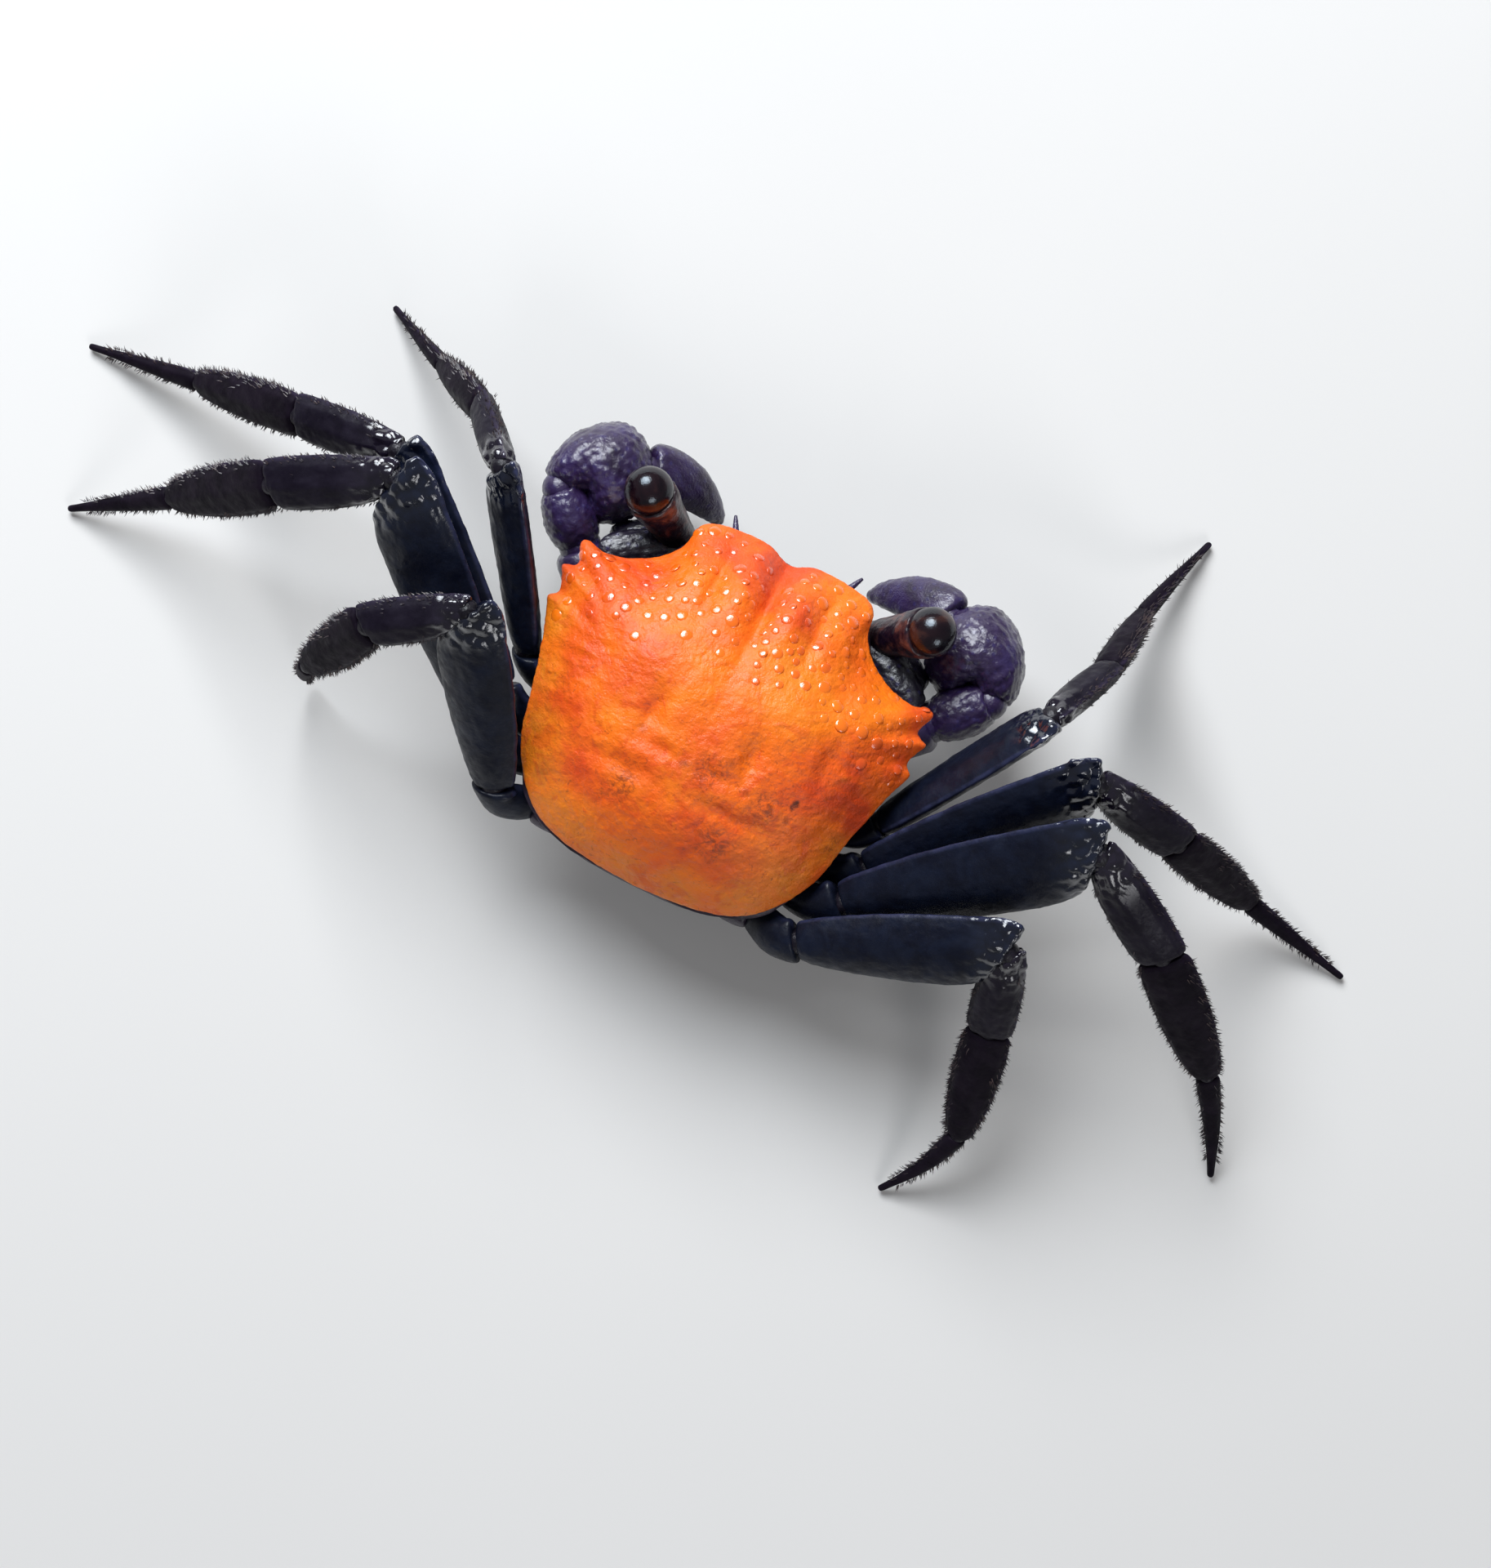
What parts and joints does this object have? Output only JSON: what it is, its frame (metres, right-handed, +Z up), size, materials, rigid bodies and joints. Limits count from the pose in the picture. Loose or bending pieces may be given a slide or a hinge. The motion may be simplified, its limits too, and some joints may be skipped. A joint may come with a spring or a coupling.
{
  "type": "vampire crab",
  "caption": "Still, life-size vampire crab standing on its leg tips: orange shell, raised dark eyes, purple claws drawn in front of the face, and dark blue walking legs.",
  "frame": {"origin": "on the floor, under the middle of the box around the whole crab", "axes": "+Z up; the crab faces -Y; +X towards its left side, along the span of its legs"},
  "size_m": [0.0636, 0.0331, 0.0148],
  "materials": {
    "shell": "wet, finely grained horny shell, mottled orange",
    "claw": "moist granular shell, deep purple",
    "leg": "moist, faintly rough shell, blue-black",
    "leg_end": "near-black shell with bristles",
    "belly": "smooth dull purple underside",
    "eye": "glossy brown-black cornea",
    "stalk": "smooth mottled brown"
  },
  "bodies": {
    "root": {"carapace": "shell", "thorax": "belly", "abdomen": "belly", "eye_left": "eye", "eyestalk_left": "stalk", "antenna_left": "claw", "antennule_left": "claw", "maxilliped_left": "belly", "claw_left_arm": "claw", "claw_left_wrist": "claw", "claw_left_palm": "claw", "claw_left_finger": "claw", "leg_left_first_merus": "leg", "leg_left_first_carpus": "leg", "leg_left_first_propodus": "leg_end", "leg_left_first_dactyl": "leg_end", "leg_left_second_merus": "leg", "leg_left_second_carpus": "leg", "leg_left_second_propodus": "leg_end", "leg_left_second_dactyl": "leg_end", "leg_left_third_merus": "leg", "leg_left_third_carpus": "leg", "leg_left_third_propodus": "leg_end", "leg_left_third_dactyl": "leg_end", "leg_left_fourth_merus": "leg", "leg_left_fourth_carpus": "leg", "leg_left_fourth_propodus": "leg_end", "leg_left_fourth_dactyl": "leg_end", "eye_right": "eye", "eyestalk_right": "stalk", "antenna_right": "claw", "antennule_right": "claw", "maxilliped_right": "belly", "claw_right_arm": "claw", "claw_right_wrist": "claw", "claw_right_palm": "claw", "claw_right_finger": "claw", "leg_right_first_merus": "leg", "leg_right_first_carpus": "leg", "leg_right_first_propodus": "leg_end", "leg_right_first_dactyl": "leg_end", "leg_right_second_merus": "leg", "leg_right_second_carpus": "leg", "leg_right_second_propodus": "leg_end", "leg_right_second_dactyl": "leg_end", "leg_right_third_merus": "leg", "leg_right_third_carpus": "leg", "leg_right_third_propodus": "leg_end", "leg_right_third_dactyl": "leg_end", "leg_right_fourth_merus": "leg", "leg_right_fourth_carpus": "leg", "leg_right_fourth_propodus": "leg_end", "leg_right_fourth_dactyl": "leg_end"}
  },
  "joints": []
}
